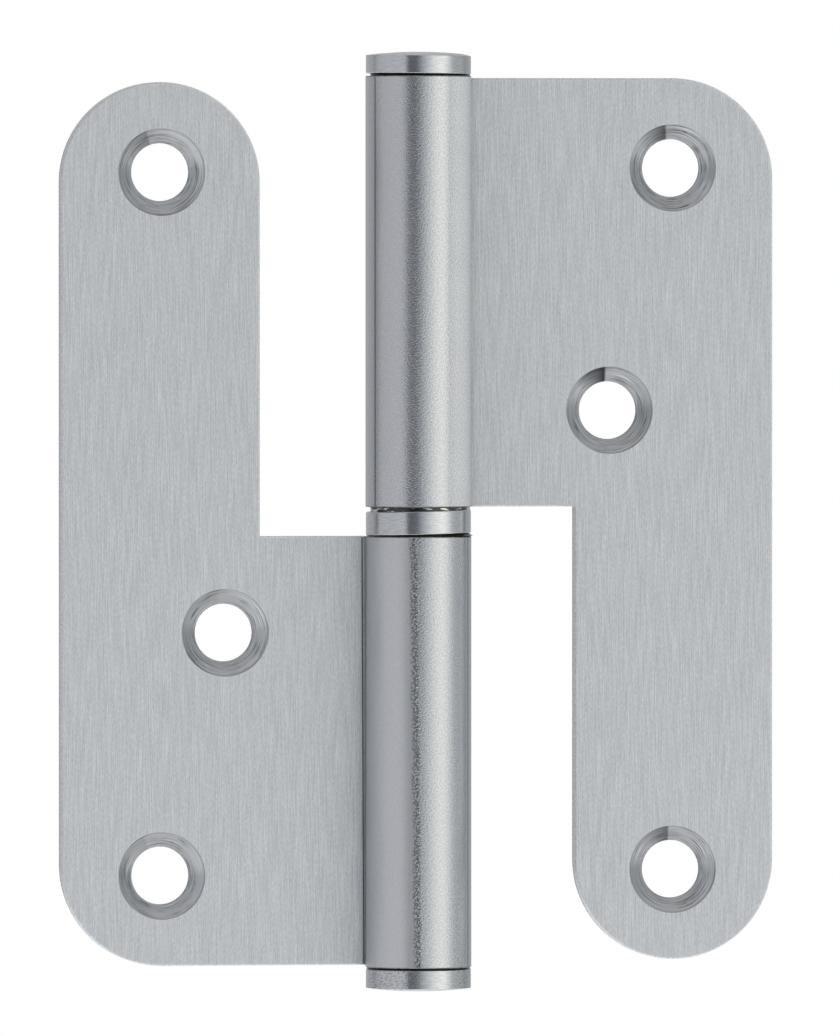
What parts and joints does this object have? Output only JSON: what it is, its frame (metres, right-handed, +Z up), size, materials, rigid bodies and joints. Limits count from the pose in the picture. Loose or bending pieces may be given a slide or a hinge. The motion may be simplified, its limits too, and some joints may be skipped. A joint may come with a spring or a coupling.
{
  "type": "lift-off hinge",
  "caption": "Lift-off door hinge in brushed stainless steel: L-shaped screw-on leaves with rolled knuckles, a bearing ring on the pin and closed barrel ends.",
  "frame": {"origin": "on the pin's axis, at the middle of the hinge's height", "axes": "+Z up along the pin, +X from the pin towards the upper (door) leaf, -Y towards the side that the screws go in from"},
  "size_m": [0.0894, 0.0132, 0.117],
  "materials": {
    "leaf_steel": "satin",
    "turned_steel": "satin",
    "pin_steel": "bright drawn"
  },
  "bodies": {
    "lower": {"lower_leaf": "leaf_steel", "hinge_pin": "pin_steel", "lower_cap": "turned_steel"},
    "ring": {"bearing_ring": "turned_steel"},
    "upper": {"upper_leaf": "leaf_steel", "upper_cap": "turned_steel"}
  },
  "joints": [
    {"name": "swing", "type": "hinge", "parent": "lower", "child": "ring", "pos_m": [0, 0, 0], "axis": [0, 0, 1], "range_deg": [-180, 157]},
    {"name": "lift", "type": "slide", "parent": "ring", "child": "upper", "axis": [0, 0, 1], "range_m": [0, 0.05]}
  ]
}
